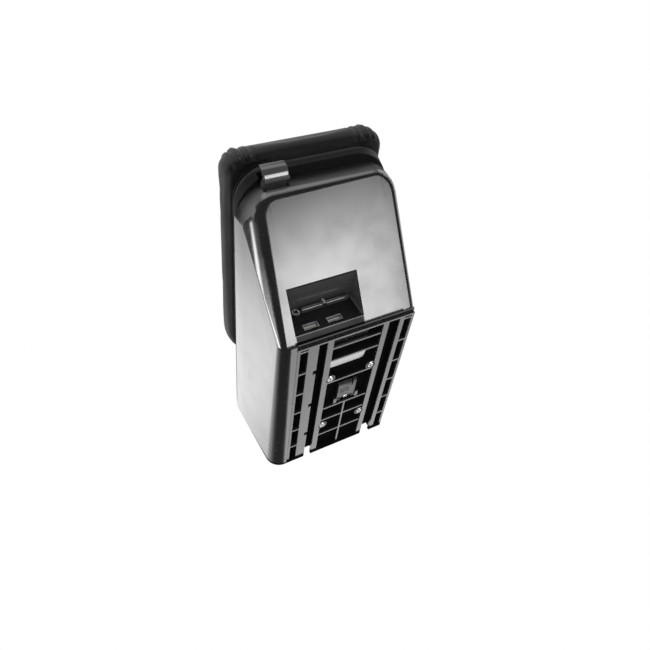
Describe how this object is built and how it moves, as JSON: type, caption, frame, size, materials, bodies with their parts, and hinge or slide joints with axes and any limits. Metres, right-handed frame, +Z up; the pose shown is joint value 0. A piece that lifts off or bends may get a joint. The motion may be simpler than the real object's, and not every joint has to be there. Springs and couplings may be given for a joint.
{
  "type": "car centre armrest",
  "caption": "Wedge-shaped storage armrest with a hinged padded lid, a charging recess and a ribbed T-slot slide base.",
  "frame": {"origin": "under the middle of the whole armrest, on the plane of the slide base's rib edges", "axes": "+Z up towards the padded lid, -Y towards the front with the latch and the charging recess, +Y towards the hinge, +X to the right seen from the front"},
  "size_m": [0.14, 0.298, 0.127],
  "materials": {
    "tub_plastic": "smooth moulded, satin to gloss",
    "base_plastic": "smooth moulded, satin",
    "lid_plastic": "fine grain",
    "module_plastic": "fine grain",
    "bar_plastic": "gloss",
    "white_plastic": "smooth",
    "leather": "fine grain, stitched",
    "steel": "bright plated",
    "rubber": "matte"
  },
  "bodies": {
    "box": {"tub": "tub_plastic", "slide_base": "base_plastic", "base_screws": "steel", "lock_pin": "steel", "lock_spring": "steel", "usb_housing": "module_plastic", "usb_shell_left": "steel", "usb_shell_right": "steel", "usb_tongues": "white_plastic", "jack_head": "steel", "module_bar": "bar_plastic", "bar_clip": "steel", "module_screws": "steel", "latch_strike": "steel", "hinge_pin": "steel", "bump_stops": "rubber", "bin_mat": "rubber"},
    "lid": {"lid_base": "lid_plastic", "pad_board": "lid_plastic", "board_screws": "steel", "lid_pad": "leather", "latch_pin": "steel", "latch_spring": "steel"},
    "latch": {"latch_lever": "lid_plastic"},
    "slide_lock": {"lock_pawl": "base_plastic"}
  },
  "joints": [
    {"name": "lid_hinge", "type": "hinge", "parent": "box", "child": "lid", "pos_m": [0, 0.145, 0.0854], "axis": [-1, 0, 0], "range_deg": [0, 95]},
    {"name": "latch_pivot", "type": "hinge", "parent": "lid", "child": "latch", "pos_m": [-0.038, -0.125, 0.079], "axis": [-1, 0, 0], "range_deg": [0, 16], "stiffness_Nm_per_rad": 0.05, "springref_deg": -28.65},
    {"name": "lock_pivot", "type": "hinge", "parent": "box", "child": "slide_lock", "pos_m": [0.01, 0.0666, 0.0044], "axis": [-1, 0, 0], "range_deg": [0, 6], "stiffness_Nm_per_rad": 0.03, "springref_deg": -28.65}
  ]
}
